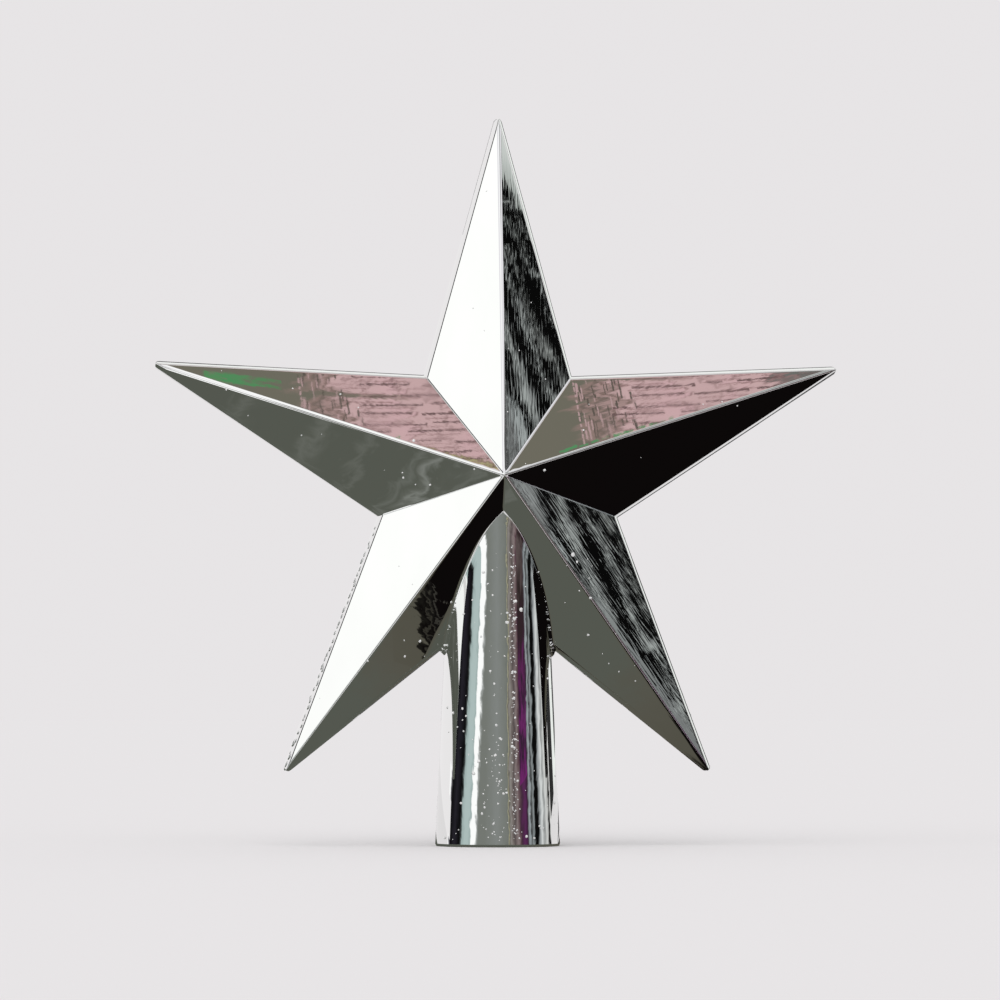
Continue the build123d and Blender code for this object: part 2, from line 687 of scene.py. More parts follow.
        def below(height: float) -> bool:
            """Tells whether a height on the socket is below the fillet."""
            place = form.on_socket(-turn, height)[None]
            return form.star(place)[0] > form.neck_width(place)[0]

        low = halved(0.0, knee[1] + form.star_height, below)
        foot = on_skin(np.array([low]))[0]
        share = np.linspace(0.0, 1.0, len(self.valley_steps))[1:-1, None]
        bend = (1 - share) ** 2 * start + 2 * share * (1 - share) * knee + share**2 * foot
        for _ in range(self.settle_rounds // 2):
            bend = form.nearer(bend, row.proud)
        seat = form.mouth_rounding
        heights = np.linspace(low, seat * (1 + math.sin(form.taper)), self.socket_rows + 1)
        centre = form.radius(seat) - seat / math.cos(form.taper)
        swing = np.linspace(form.taper, -math.pi / 2, self.mouth_rows + 1)[1:]
        reach = seat + row.proud
        lip = round_way * (centre + reach * np.cos(swing))[:, None]
        lip[:, 1] = seat + reach * np.sin(swing) - form.star_height
        ring = round_way * np.array([[(centre + form.bore_radius) / 2], [form.bore_radius + self.bore_gap]])
        ring[:, 1] = lip[-1, 1]
        return np.vstack([bend, on_skin(heights), lip, ring])

    def blocks(self) -> list[tuple[list[np.ndarray], bool]]:
        """Lists the facets round the star.

        Returns:
            For each facet its rows of points as (across, up, out), and whether it is mirrored.
        """
        rows, first = self.rows()
        plain = self.facet(rows, turned(math.pi / 2), self.form.heading(0) + self.form.half_step)
        lower = self.neck_facet(rows, first)
        mirror = np.array([-1.0, 1.0, 1.0])
        listed = [(lower, False), ([line * mirror for line in lower], True)]
        left_of_socket = self.form.point_count // 2
        for point in range(self.form.point_count):
            spin = np.eye(3)
            spin[:2, :2] = turned(2 * self.form.half_step * point)
            if point != left_of_socket:
                listed.append(([line @ spin.T for line in plain], False))
            if point != left_of_socket + 1:
                listed.append(([(line * mirror) @ spin.T for line in plain], True))
        return listed

    def sheet(self) -> tuple[np.ndarray, Faces]:
        """Joins the facets and the socket into one open sheet.

        Returns:
            Points as (across, up, out), and faces as point numbers.
        """
        points: list[np.ndarray] = []
        faces: Faces = []
        for block, mirrored in self.blocks():
            starts = np.cumsum([0] + [len(line) for line in block]) + len(points)
            for line in block:
                points.extend(line)
            for number in range(len(block) - 1):
                for column in range(min(len(block[number]), len(block[number + 1])) - 1):
                    here, below = starts[number] + column, starts[number + 1] + column
                    quad = (here, below, below + 1, here + 1)
                    faces.append(quad[::-1] if mirrored else quad)
        return self.welded(np.array(points), faces)

    def welded(self, points: np.ndarray, faces: Faces) -> tuple[np.ndarray, Faces]:
        """Joins points that lie on each other.

        Args:
            points: All points.
            faces: Faces as point numbers.

        Returns:
            The distinct points, and the faces that are left with them.
        """
        cells = np.floor(points * self.weld_cells + self.weld_shift).astype(np.int64)
        _, chosen, number_of = np.unique(cells, axis=0, return_index=True, return_inverse=True)
        number_of = number_of.reshape(-1)
        rings = [tuple(dict.fromkeys(number_of[list(face)].tolist())) for face in faces]
        return points[chosen], [ring for ring in rings if len(ring) > 2]

    @staticmethod
    def open_edges(faces: Faces) -> list[tuple[int, int]]:
        """Lists the edges that only one face has, in that face's order."""
        sides = {side for face in faces for side in zip(face, face[1:] + face[:1])}
        return sorted(side for side in sides if side[::-1] not in sides)

    def skin(self) -> tuple[bmesh.types.BMesh, int]:
        """Makes the closed skin from an outer and an inner sheet.

        Returns:
            The mesh in (across, up, out), and the number of its points that are on the outer sheet.
        """
        outer, faces = self.sheet()
        slopes = unit(self.form.gradient(outer))
        level = outer[:, 1] + self.form.star_height
        slopes[level < self.form.mouth_rounding / 2] = (0.0, -1.0, 0.0)
        inner = outer - slopes * (self.proud - self.under)
        count = len(outer)
        mesh = bmesh.new()
        spots = [mesh.verts.new(place) for place in np.vstack([outer, inner])]
        for face in faces:
            mesh.faces.new([spots[number] for number in face])
            mesh.faces.new([spots[number + count] for number in reversed(face)])
        for start, end in self.open_edges(faces):
            mesh.faces.new([spots[number] for number in (end, start, start + count, end + count)])
        bmesh.ops.recalc_face_normals(mesh, faces=mesh.faces)
        return mesh, count

    def lay_flow(self, mesh: bmesh.types.BMesh) -> None:
        """Writes flow coordinates, along and across each point and the socket, and the depth of the flow lines.

        Args:
            mesh: The skin in (across, up, out).
        """
        layer = mesh.loops.layers.uv.new("flow")
        depth = mesh.faces.layers.float.new("flow_depth")
        form = self.form
        middles = np.array([face.calc_center_median()[:] for face in mesh.faces])
        on_socket = form.socket(middles) < form.star(middles)
        owners = form.nearest_point(middles[:, 0], middles[:, 1])
        _, sides = form.own_directions(middles[:, 0], middles[:, 1])
        for face, socketed, owner, side in zip(mesh.faces, on_socket, owners, sides):
            heading = form.heading(owner)
            wavy = not socketed and (owner, side > 0) in self.wavy_facets
            face[depth] = 1.0 if wavy else self.calm_depth
            for loop in face.loops:
                spot = loop.vert.co
                if socketed:
                    around = math.atan2(spot.x, spot.z) * form.mouth_radius
                    loop[layer].uv = (spot.y + self.socket_flow[0], around + self.socket_flow[1])
                else:
                    along = spot.x * math.cos(heading) + spot.y * math.sin(heading)
                    aside = spot.y * math.cos(heading) - spot.x * math.sin(heading)
                    loop[layer].uv = (along + self.point_flow[0] * owner, aside + self.point_flow[1] * owner)

    def true_normals(self, data: bpy.types.Mesh, places: np.ndarray, count: int) -> None:
        """Gives the outer sheet the normals of its exact surface, so that flat facets mirror as flat.

        Towards the parting plane the rim's normals turn straight outwards, as on a softened edge.

        Args:
            data: The mesh.
            places: Its points in (across, up, out).
            count: Number of points on the outer sheet.
        """
        data.shade_smooth()
        slopes = self.form.gradient(places)
        slopes[:, 2] *= np.clip(places[:, 2] / self.rim_rounding, 0.0, 1.0)
        exact = unit(slopes) @ np.array(self.form.stand.to_3x3()).T
        exact[places[:, 1] + self.form.star_height < self.form.mouth_rounding] = 0.0
        exact[count:] = 0.0
        corners = np.zeros(len(data.loops), int)
        data.loops.foreach_get("vertex_index", corners)
        wanted = exact[corners]
        for polygon in data.polygons:
            if max(polygon.vertices) >= count:
                wanted[polygon.loop_start : polygon.loop_start + polygon.loop_total] = 0.0
        data.normals_split_custom_set(wanted.tolist())

    def build(self, dress: bpy.types.Material) -> list[bpy.types.Object]:
        """Makes the plating of both halves.

        Args:
            dress: The plating's material.

        Returns:
            The two objects.
        """
        mesh, count = self.skin()
        places = np.array([vertex.co[:] for vertex in mesh.verts])
        self.lay_flow(mesh)
        mesh.transform(Matrix.Scale(MM, 4) @ self.form.stand)
        data = finished(mesh, "plating", dress)
        self.true_normals(data, places, count)
        meshes = {Side.FRONT: data, Side.REAR: data.copy()}
        return [set_piece(f"{side.name.lower()}_plating", meshes[side], side) for side in Side]


@dataclass(frozen=True)
class Lump:
    """One raised spot of the plating.

    Attributes:
        place: Where it sits, as (across, up, out).
        radius: Half its width.
        height: How far it stands up.
        along: Direction that it is drawn out in, or nothing.
        stretch: How much longer than wide it is.
    """

    place: np.ndarray
    radius: float
    height: float
    along: np.ndarray | None = None
    stretch: float = 1.0


@dataclass
class Lumps:
    """Pimples, rim beads and neck drips that the plating has gathered in, on one half.

    Turns are degrees round the socket from straight in front, heights are above its mouth, and a bulge is a height as
    a share of the radius.

    Attributes:
        skin_height: How far the plating stands off the moulding.
        sink: How far a lump's foot goes into the plating.
        facet_counts: Pimples of each facet, as point, side of its ridge and count.
        usual_radius: Radius of most pimples, with its spread and its limits.
        small_radius: Radius below which a lump has fewer faces.
        facet_share: Share of a facet that pimples lie on, with the clearance that they keep from the socket.
        scatter_turn: Widest turn of the scattered pimples, which reach less high the further round they are.
        middle_turn: Middle and spread of the turns of the pimples in front.
        column_turn: Middle and spread of the turns of the column beside them.
        bead_run: Share of the rim that beads lie on.
        drip_turn: Turn of the corner that large drips gather in, with how far back they reach.
        trickle_turn: The same for small ones.
    """

    side: Side
    seed: int
    form: TopperForm = field(default_factory=TopperForm)
    skin_height: float = 0.1
    sink: float = 0.06
    facet_counts: tuple[tuple[int, int, int], ...] = (
        (0, 1, 3), (0, -1, 5), (1, -1, 5), (1, 1, 10), (2, -1, 3),
        (2, 1, 9), (3, -1, 18), (3, 1, 8), (4, -1, 3), (4, 1, 5),
    )
    usual_radius: float = 0.22
    radius_spread: float = 0.42
    radius_limits: Range = (0.11, 0.62)
    small_radius: float = 0.3
    facet_share: float = 0.94
    facet_clearance: float = 16.0
    facet_rise: float = 0.2
    facet_bulge: Range = (0.4, 0.75)
    socket_bulge: Range = (0.6, 1.0)
    socket_foot: float = 1.5
    socket_top: float = 82.0
    scatter_count: int = 70
    scatter_turn: float = 72.0
    scatter_top: float = 84.0
    scatter_fall: float = 0.42
    scatter_power: float = 1.4
    middle_count: int = 90
    middle_turn: Range = (-9.0, 8.0)
    middle_foot: float = 2.0
    middle_low_top: float = 33.0
    middle_high_share: float = 0.4
    middle_size: float = 0.8
    column_count: int = 170
    column_turn: Range = (10.5, 2.0)
    column_size: float = 0.75
    bead_count: int = 40
    bead_run: Range = (0.05, 0.96)
    bead_shift: float = 0.008
    bead_radius: Range = (0.34, 0.62)
    bead_depth: Range = (0.6, 2.0)
    bead_stretch: Range = (1.1, 2.0)
    bead_bulge: float = 0.55
    drip_count: int = 6
    drip_turn: Range = (88.0, 18.0)
    drip_power: float = 2.0
    drip_radius: Range = (0.4, 0.7)
    drip_growth: float = 0.7
    drip_growth_turn: float = 7.0
    drip_drop: Range = (-1.8, 0.6)
    trickle_count: int = 18
    trickle_turn: Range = (86.0, 40.0)
    trickle_power: float = 1.5
    trickle_drop: Range = (-0.2, 1.1)
    trickle_radius: Range = (0.12, 0.36)
    outline_waves: Range = (0.1, 0.07)
    lean_share: float = 0.18
    settle_rounds: int = 40
    settle_stride: float = 1.5

    def __post_init__(self) -> None:
        """Starts the half's own series of random numbers."""
        self.random = np.random.default_rng(self.seed)

    def corners(self, point: int, hand: int) -> tuple[np.ndarray, np.ndarray]:
        """Tip and valley of one facet, in plan from the star's centre."""
        ridge, valley = self.form.heading(point), self.form.heading(point) + hand * self.form.half_step
        return self.form.point_reach * turned(ridge)[:, 0], self.form.valley_reach * turned(valley)[:, 0]

    def any_radius(self) -> float:
        """Radius of a pimple: mostly small, now and then a large one."""
        drawn = self.random.lognormal(math.log(self.usual_radius), self.radius_spread)
        return float(np.clip(drawn, *self.radius_limits))

    def facet_pimples(self) -> list[Lump]:
        """Scatters pimples over the facets, clear of the socket.

        Returns:
            The pimples.
        """
        found = []
        for point, hand, count in self.facet_counts:
            tip, valley = self.corners(point, hand)
            for _ in range(count):
                near, far = np.sort(self.random.random(2))
                across, up = tip * near * self.facet_share + valley * (far - near) * self.facet_share
                if up < 0 and abs(across) < self.facet_clearance:
                    continue
                out = self.form.apex_height * max(self.facet_rise, 1 - math.hypot(across, up) / self.form.point_reach)
                radius = self.any_radius()
                height = radius * self.random.uniform(*self.facet_bulge)
                found.append(Lump(np.array([across, up, out]), radius, height))
        return found

    def on_socket(self, turn: float, height: float, radius: float) -> Lump:
        """Lump on the socket, at a turn from straight in front and a height above the mouth."""
        place = self.form.on_socket(math.radians(turn), height)
        return Lump(place, radius, radius * self.random.uniform(*self.socket_bulge))

    def socket_pimples(self) -> list[Lump]:
        """Scatters pimples over the socket, most of them low in front, and a column of them beside its middle.

        Returns:
            The pimples.
        """
        draw, found = self.random, []
        for _ in range(self.scatter_count):
            turn = draw.uniform(-self.scatter_turn, self.scatter_turn)
            rise = self.scatter_top - self.scatter_fall * abs(turn) - self.socket_foot
            height = self.socket_foot + rise * draw.random() ** self.scatter_power
            found.append(self.on_socket(turn, height, self.any_radius()))
        for _ in range(self.middle_count):
            turn = draw.normal(*self.middle_turn)
            top = self.socket_top if draw.random() < self.middle_high_share else self.middle_low_top
            height = draw.uniform(self.middle_foot, top)
            found.append(self.on_socket(turn, height, self.middle_size * self.any_radius()))
        for _ in range(self.column_count):
            turn = draw.normal(*self.column_turn)
            height = draw.uniform(self.socket_foot, self.socket_top)
            found.append(self.on_socket(turn, height, self.column_size * self.any_radius()))
        return found

    def rim_beads(self) -> list[Lump]:
        """Strings beads along the left rim of the lower left point.

        Returns:
            The beads.
        """
        draw, found = self.random, []
        tip, valley = self.corners(2, -1)
        way = np.append((tip - valley) / np.linalg.norm(tip - valley), 0.0)
        for share in np.linspace(*self.bead_run, self.bead_count):
            shifted = share + draw.uniform(-self.bead_shift, self.bead_shift)
            across, up = valley + (tip - valley) * shifted
            radius, out = draw.uniform(*self.bead_radius), draw.uniform(*self.bead_depth)
            stretch = draw.uniform(*self.bead_stretch)
            found.append(Lump(np.array([across, up, out]), radius, radius * self.bead_bulge, way, stretch))
        return found

    def neck_level(self, turn: float) -> float:
        """Height at which the socket meets the star, at a turn from straight in front."""
        form = self.form
        return halved(
            0.0, form.star_height, lambda height: form.star(form.on_socket(math.radians(turn), height)[None])[0] > 0
        )

    def neck_drips(self) -> list[Lump]:
        """Gathers drips in the two corners of the neck, larger towards the parting plane.

        Returns:
            The drips.
        """
        draw, found = self.random, []
        for hand in (-1, 1):
            for _ in range(self.drip_count):
                back = self.drip_turn[1] * draw.random() ** self.drip_power
                growth = self.drip_growth * max(0.0, 1 - back / self.drip_growth_turn)
                radius = draw.uniform(*self.drip_radius) + growth
                turn = self.drip_turn[0] - back
                height = self.neck_level(turn) + draw.uniform(*self.drip_drop)
                found.append(self.on_socket(hand * turn, height, radius))
            for _ in range(self.trickle_count):
                turn = self.trickle_turn[0] - self.trickle_turn[1] * draw.random() ** self.trickle_power
                height = self.neck_level(turn) + draw.normal(*self.trickle_drop)
                found.append(self.on_socket(hand * turn, height, draw.uniform(*self.trickle_radius)))
        return found

    def seats(self, lumps: list[Lump]) -> tuple[np.ndarray, np.ndarray]:
        """Brings lumps onto the plating.

        Args:
            lumps: The lumps.

        Returns:
            The middle of each one's foot, and the way straight out of the plating there.
        """
        places = np.array([lump.place for lump in lumps], float)
        for _ in range(self.settle_rounds):
            places = self.form.nearer(places, self.skin_height, self.settle_stride)
        return places, unit(self.form.gradient(places))

    def raise_lump(self, mesh: bmesh.types.BMesh, lump: Lump, seat: np.ndarray, out: np.ndarray) -> None:
        """Adds one uneven dome to a mesh.

        Args:
            mesh: The mesh, in (across, up, out).
            lump: What to add.
            seat: Middle of its foot.
            out: Way straight out of the plating.
        """
        guide = self.random.normal(size=3) if lump.along is None else lump.along
        first = guide - out * (guide @ out)
        first /= np.linalg.norm(first)
        second = np.cross(out, first)
        segments, levels = (8, 3) if lump.radius < self.small_radius else (12, 5)
        turns = np.arange(segments) * 2 * math.pi / segments
        phases = self.random.uniform(0, 2 * math.pi, 3)
        waves = [np.cos(order * turns + phase) for order, phase in zip((2, 3), phases)]
        outline = 1 + self.outline_waves[0] * waves[0] + self.outline_waves[1] * waves[1]
        lean = self.random.uniform(-self.lean_share, self.lean_share, 2) * lump.radius
        aside = first * lean[0] + second * lean[1]
        rings = []
        for level in range(levels):
            tilt = level / levels * math.pi / 2
            spread = lump.radius * math.cos(tilt) * outline
            lift = lump.height * math.sin(tilt) - (self.sink if level == 0 else 0.0)
            middle = seat + out * lift + aside * math.sin(tilt)
            sides = np.outer(spread * np.cos(turns) * lump.stretch, first) + np.outer(spread * np.sin(turns), second)
            rings.append([mesh.verts.new(place) for place in middle + sides])
        top = mesh.verts.new(seat + out * lump.height + aside)
        for below, above in zip(rings, rings[1:]):
            for index in range(segments):
                after = (index + 1) % segments
                mesh.faces.new((below[index], below[after], above[after], above[index]))
        for index in range(segments):
            mesh.faces.new((rings[-1][index], rings[-1][(index + 1) % segments], top))
        mesh.faces.new(list(reversed(rings[0])))

    def build(self, bright: bpy.types.Material, painted_glint: bpy.types.Material) -> list[bpy.types.Object]:
        """Makes the half's lumps.

        Args:
            bright: The plating's material, for beads and drips.
            painted_glint: The pimples' material.

        Returns:
            One object for each kind.
        """
        kinds = {
            # The pimples' pale finish is a painted highlight that stands in for their glints.
            "pimples": (self.facet_pimples() + self.socket_pimples(), painted_glint),
            "rim_beads": (self.rim_beads(), bright),
            "neck_drips": (self.neck_drips(), bright),
        }
        made = []
        for kind, (lumps, dress) in kinds.items():
            mesh = bmesh.new()
            for lump, seat, out in zip(lumps, *self.seats(lumps)):
                self.raise_lump(mesh, lump, seat, out)
            mesh.transform(Matrix.Scale(MM, 4) @ self.form.stand)
            bmesh.ops.recalc_face_normals(mesh, faces=mesh.faces)
            name = f"{self.side.name.lower()}_{kind}"
            data = finished(mesh, name, dress)
            data.shade_smooth()
            made.append(set_piece(name, data, self.side))
        return made


class Nodes:
    """Shader nodes of one material or world, with short ways to add and join them."""

    def __init__(self, tree: bpy.types.NodeTree) -> None:
        """Empties the tree."""
        self.tree = tree
        tree.nodes.clear()

    def add(self, kind: str, inputs: dict[str | int, object] | None = None, **settings: object) -> bpy.types.Node:
        """Adds a node.

        Args:
            kind: Shader node type without its prefix.
            inputs: Values or output sockets for its inputs.
            settings: Values for its own settings.

        Returns:
            The node.
        """
        node = self.tree.nodes.new("ShaderNode" + kind)
        for name, value in settings.items():
            setattr(node, name, value)
        for name, value in (inputs or {}).items():
            if isinstance(value, Socket):
                self.tree.links.new(value, node.inputs[name])
            else:
                node.inputs[name].default_value = value
        return node

    def ramp(self, factor: Socket, stops: list[Stop]) -> Socket:
        """Adds a colour ramp.

        Args:
            factor: What drives it.
            stops: Places and colours.

        Returns:
            The ramp's colour output.
        """
        node = self.add("ValToRGB", {"Fac": factor})
        elements = node.color_ramp.elements
        while len(elements) < len(stops):
            elements.new(0.5)
        for element, (place, colour) in zip(elements, stops):
            element.position = place
            element.color = (*colour, 1.0)
        return node.outputs["Color"]

    def noise(self, place: Socket, scale: float, detail: float, rough: float = 0.5, bend: float = 0.0) -> Socket:
        """Adds cloudy noise.

        Args:
            place: Coordinates that it follows.
            scale: Its fineness.
            detail: Number of finer clouds laid over the broad ones.
            rough: Strength of the finer clouds.
            bend: How far it is bent out of line.

        Returns:
            The noise's value.
        """
        look = {"Scale": scale, "Detail": detail, "Roughness": rough, "Distortion": bend}
        return self.add("TexNoise", {"Vector": place, **look}).outputs["Fac"]

    def maths(self, operation: str, *values: object) -> Socket:
        """Adds a sum or another operation on some values and gives its output."""
        return self.add("Math", dict(enumerate(values)), operation=operation).outputs[0]

    def place(self) -> Socket:
        """Adds the object's own coordinates."""
        return self.add("TexCoord").outputs["Object"]

    def drawn(self, place: Socket, scale: Triple) -> Socket:
        """Adds a mapping that draws coordinates out."""
        return self.add("Mapping", {"Vector": place, "Scale": scale}).outputs["Vector"]

    def spread(self, value: Socket, start: Range, end: Range) -> Socket:
        """Adds a mapping of one range of values onto another, held at its ends."""
        names = ("From Min", "From Max", "To Min", "To Max")
        return self.add("MapRange", {"Value": value, **dict(zip(names, (*start, *end)))}).outputs["Result"]

    def bump(self, height: Socket, strength: float | Socket, distance: float, **more: Socket) -> Socket:
        """Adds a bump and gives its normal."""
        inputs = {"Height": height, "Strength": strength, "Distance": distance, **more}
        return self.add("Bump", inputs).outputs["Normal"]

    def surface(self, colour: Colour | Socket, roughness: float | Socket, **more: object) -> Socket:
        """Adds the shader of a solid surface, with more of its inputs by name."""
        tone = colour if isinstance(colour, Socket) else (*colour, 1.0)
        return self.add("BsdfPrincipled", {"Base Color": tone, "Roughness": roughness, **more}).outputs["BSDF"]


class Finish:
    """Look of a surface, whose nodes each kind of finish lays in its own way."""

    def shade(self, nodes: Nodes) -> Socket:
        """Lays the finish's nodes and gives their shader."""
        raise NotImplementedError

    def material(self, name: str) -> bpy.types.Material:
        """Makes a material with this look.

        Args:
            name: Name of the material.

        Returns:
            The new material.
        """
        made = bpy.data.materials.new(name)
        made.use_nodes = True
        nodes = Nodes(made.node_tree)
        nodes.add("OutputMaterial", {"Surface": self.shade(nodes)})
        return made


@dataclass(frozen=True)
class SilverPlating(Finish):
    """Vacuum-metallised silver: a mirror with flow lines, fine ripple and a faint haze."""

    colour: Colour = (0.88, 0.89, 0.88)
    streak_scale: Triple = (0.15, 1.8, 1.0)
    streak_bend: float = 0.6
    streak_height: float = 1.35e-6
    ripple_scale: Triple = (0.3, 0.8, 1.0)
    ripple_height: float = 2.0e-7
    cloud_scale: float = 60.0
    cloud_range: Range = (0.35, 0.75)
    haze: Range = (0.004, 0.015)

    def shade(self, nodes: Nodes) -> Socket:
        """Lays the plating's nodes.

        Args:
            nodes: Nodes of the material.

        Returns:
            The shader.
        """
        flow = nodes.add("UVMap", uv_map="flow").outputs["UV"]
        depth = nodes.add("Attribute", attribute_name="flow_depth").outputs["Fac"]
        streaks = nodes.noise(nodes.drawn(flow, self.streak_scale), 1.0, 1.0, bend=self.streak_bend)
        ripple = nodes.noise(nodes.drawn(flow, self.ripple_scale), 1.0, 1.0)
        lifted = nodes.bump(streaks, depth, self.streak_height)
        rippled = nodes.bump(ripple, 1.0, self.ripple_height, Normal=lifted)
        haze = nodes.spread(nodes.noise(nodes.place(), self.cloud_scale, 5.0), self.cloud_range, self.haze)
        return nodes.surface(self.colour, haze, Metallic=1.0, Normal=rippled)


@dataclass(frozen=True)
class PaintedGlintSilver(Finish):
    """Rough pale silver for the pimples, whose near-white colour is a painted highlight that stands in for their
    glints.
    """

    colour: Colour = (0.95, 0.95, 0.94)
    shade_colour: Colour = (0.8, 0.81, 0.81)
    metal: float = 0.25
    cloud_scale: float = 700.0
    roughness: Range = (0.35, 0.6)

    def shade(self, nodes: Nodes) -> Socket:
        """Lays the pimples' nodes.

        Args:
            nodes: Nodes of the material.

        Returns:
            The shader.
        """
        cloud = nodes.noise(nodes.place(), self.cloud_scale, 2.0)
        tone = nodes.ramp(cloud, [(0.35, self.shade_colour), (0.6, self.colour)])
        return nodes.surface(tone, nodes.spread(cloud, (0.0, 1.0), self.roughness), Metallic=self.metal)


@dataclass(frozen=True)
class BareMoulding(Finish):
    """Bare polystyrene inside the mouldings, with a mist of silver just inside the socket's mouth."""

    colour: Colour = (0.66, 0.67, 0.67)
    darker: Colour = (0.52, 0.53, 0.53)
    cloud_scale: float = 110.0
    mist_heights: Range = (0.004, 0.016)
    mist_ragged: float = 0.012
    mist_metal: float = 0.85
    grain_scale: float = 900.0
    grain_height: float = 2e-5
    roughness: float = 0.34

    def shade(self, nodes: Nodes) -> Socket:
        """Lays the moulding's nodes.

        Args:
            nodes: Nodes of the material.

        Returns:
            The shader.
        """
        place = nodes.place()
        cloud = nodes.noise(place, self.cloud_scale, 6.0)
        tone = nodes.ramp(cloud, [(0.35, self.darker), (0.65, self.colour)])
        height = nodes.add("SeparateXYZ", {"Vector": place}).outputs["Z"]
        level = nodes.maths("MULTIPLY_ADD", cloud, self.mist_ragged, height)
        mist = nodes.spread(level, self.mist_heights, (self.mist_metal, 0.0))
        raised = nodes.bump(nodes.noise(place, self.grain_scale, 3.0), 0.6, self.grain_height)
        return nodes.surface(tone, self.roughness, Metallic=mist, Normal=raised)


@dataclass(frozen=True)
class SetCement(Finish):
    """Set solvent cement, slightly yellow and uneven."""

    colour: Colour = (0.62, 0.57, 0.42)
    darker: Colour = (0.45, 0.4, 0.27)
    cloud_scale: float = 240.0
    lump_height: float = 1e-4
    roughness: float = 0.22

    def shade(self, nodes: Nodes) -> Socket:
        """Lays the cement's nodes.

        Args:
            nodes: Nodes of the material.

        Returns:
            The shader.
        """
        cloud = nodes.noise(nodes.place(), self.cloud_scale, 5.0)
        tone = nodes.ramp(cloud, [(0.3, self.darker), (0.7, self.colour)])
        return nodes.surface(tone, self.roughness, Normal=nodes.bump(cloud, 0.8, self.lump_height))


@dataclass
class Mouldings:
    """The solids themselves: two bare mouldings and the cement between them."""

    bare: BareMoulding = field(default_factory=BareMoulding)
    cement: SetCement = field(default_factory=SetCement)

    def dress(self) -> list[str]:
        """Gives the solids their finishes.

        Returns:
            Names of the dressed nodes.
        """
        bare = self.bare.material("bare_moulding")
        cement = self.cement.material("clear_cement")
        for name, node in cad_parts.items():
            node.data.materials.clear()
            node.data.materials.append(cement if name == "seam_cement" else bare)
        return sorted(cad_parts)


@dataclass(frozen=True)
class PaleBoard(Finish):
    """Matt pale board of the floor."""

    colour: Colour

    def shade(self, nodes: Nodes) -> Socket:
        """Lays the board's one node and gives its shader."""
        return nodes.add("BsdfDiffuse", {"Color": (*self.colour, 1.0)}).outputs["BSDF"]


@dataclass(frozen=True)
class CardFinish(Finish):
    """Tones that follow one another across a card, with ragged borders, whatever light falls on it.

    Attributes:
        tones: Places along the card and the tone at each, in rising order.
        way: Shares of azimuth and elevation that make up a place.
        ragged: How far the grain moves a border.
        grain: Grain's fineness in azimuth and in elevation, for each degree.
        bend: How far the grain is bent out of line.
        detail: Number of finer grains laid over the broad one.
    """

    tones: tuple[Stop, ...]
    way: Range = (1.0, 0.0)
    ragged: float = 0.0
    grain: Range = (0.1, 1.0)
    bend: float = 0.0
    detail: float = 5.0

    @classmethod
    def plain(cls, tone: Colour) -> "CardFinish":
        """Finish of one even tone."""
        return cls(((0.0, tone), (1.0, tone)))

    def shade(self, nodes: Nodes) -> Socket:
        """Lays the card's nodes.

        Args:
            nodes: Nodes of the material.

        Returns:
            The shader.
        """
        angles = nodes.add("UVMap", uv_map="angles").outputs["UV"]
        weights = (*self.way, 0.0)
        place = nodes.add("VectorMath", {0: angles, 1: weights}, operation="DOT_PRODUCT").outputs["Value"]
        noise = nodes.noise(nodes.drawn(angles, (*self.grain, 1.0)), 1.0, self.detail, 0.55, self.bend)
        moved = nodes.maths("MULTIPLY_ADD", nodes.maths("SUBTRACT", noise, 0.5), 2.0 * self.ragged, place)
        first, last = self.tones[0][0], self.tones[-1][0]
        share = nodes.spread(moved, (first, last), (0.0, 1.0))
        tone = nodes.ramp(share, [((spot - first) / (last - first), colour) for spot, colour in self.tones])
        return nodes.add("Emission", {"Color": tone, "Strength": 1.0}).outputs["Emission"]


def grey(level: float) -> Colour:
    """Tone without a hue."""
    return (level, level, level)


def streak(ground: Colour, places: tuple[float, ...], *tones: Colour) -> tuple[Stop, ...]:
    """Stops of one streak on a card: the ground, the streak's tones, and the ground again."""
    return tuple(zip(places, (ground, *tones, ground)))


@dataclass
class Card:
    """Curved card round the topper, given by the angles that it covers as seen from the star's centre.

    Azimuth 0 is straight in front and grows to the right. The lean is the rise for each degree to the right. More
    patches of the same finish can stand at the same distance.
    """

    name: str
    azimuth: Range
    elevation: Range
    finish: CardFinish
    distance: float = 1.0
    step: float = 2.0
    lean: float = 0.0
    centre_height: float = 0.1
    more: tuple[Patch, ...] = ()

    def patch(self, mesh: bmesh.types.BMesh, azimuth: Range, elevation: Range) -> None:
        """Adds one patch to the card's mesh.

        Args:
            mesh: The mesh, with its layer of angles.
            azimuth: Angles that the patch covers from left to right.
            elevation: Angles that it covers upwards, at its left end.
        """
        layer = mesh.loops.layers.uv["angles"]
        counts = [max(1, round((end - start) / self.step)) for start, end in (azimuth, elevation)]
        azimuths = np.linspace(*azimuth, counts[0] + 1)
        elevations = np.linspace(*elevation, counts[1] + 1)
        corners = {}
        for column, across in enumerate(azimuths):
            for line, up in enumerate(elevations):
                turn = math.radians(across)
                lift = math.radians(up + self.lean * (across - azimuths[0]))
                way = Vector((math.sin(turn) * math.cos(lift), -math.cos(turn) * math.cos(lift), math.sin(lift)))
                corners[column, line] = mesh.verts.new(way * self.distance + Vector((0, 0, self.centre_height)))
        for column in range(counts[0]):
            for line in range(counts[1]):
                order = [(column, line), (column + 1, line), (column + 1, line + 1), (column, line + 1)]
                face = mesh.faces.new([corners[spot] for spot in order])
                for loop, (right, top) in zip(face.loops, order):
                    loop[layer].uv = (azimuths[right], elevations[top])

    def build(self) -> bpy.types.Object:
        """Makes the card as a stage piece that only reflections meet.

        Returns:
            The new object.
        """
        mesh = bmesh.new()
        mesh.loops.layers.uv.new("angles")
        for azimuth, elevation in ((self.azimuth, self.elevation), *self.more):
            self.patch(mesh, azimuth, elevation)
        return set_stage(self.name, finished(mesh, self.name, self.finish.material(self.name)), Reach.REFLECTIONS)


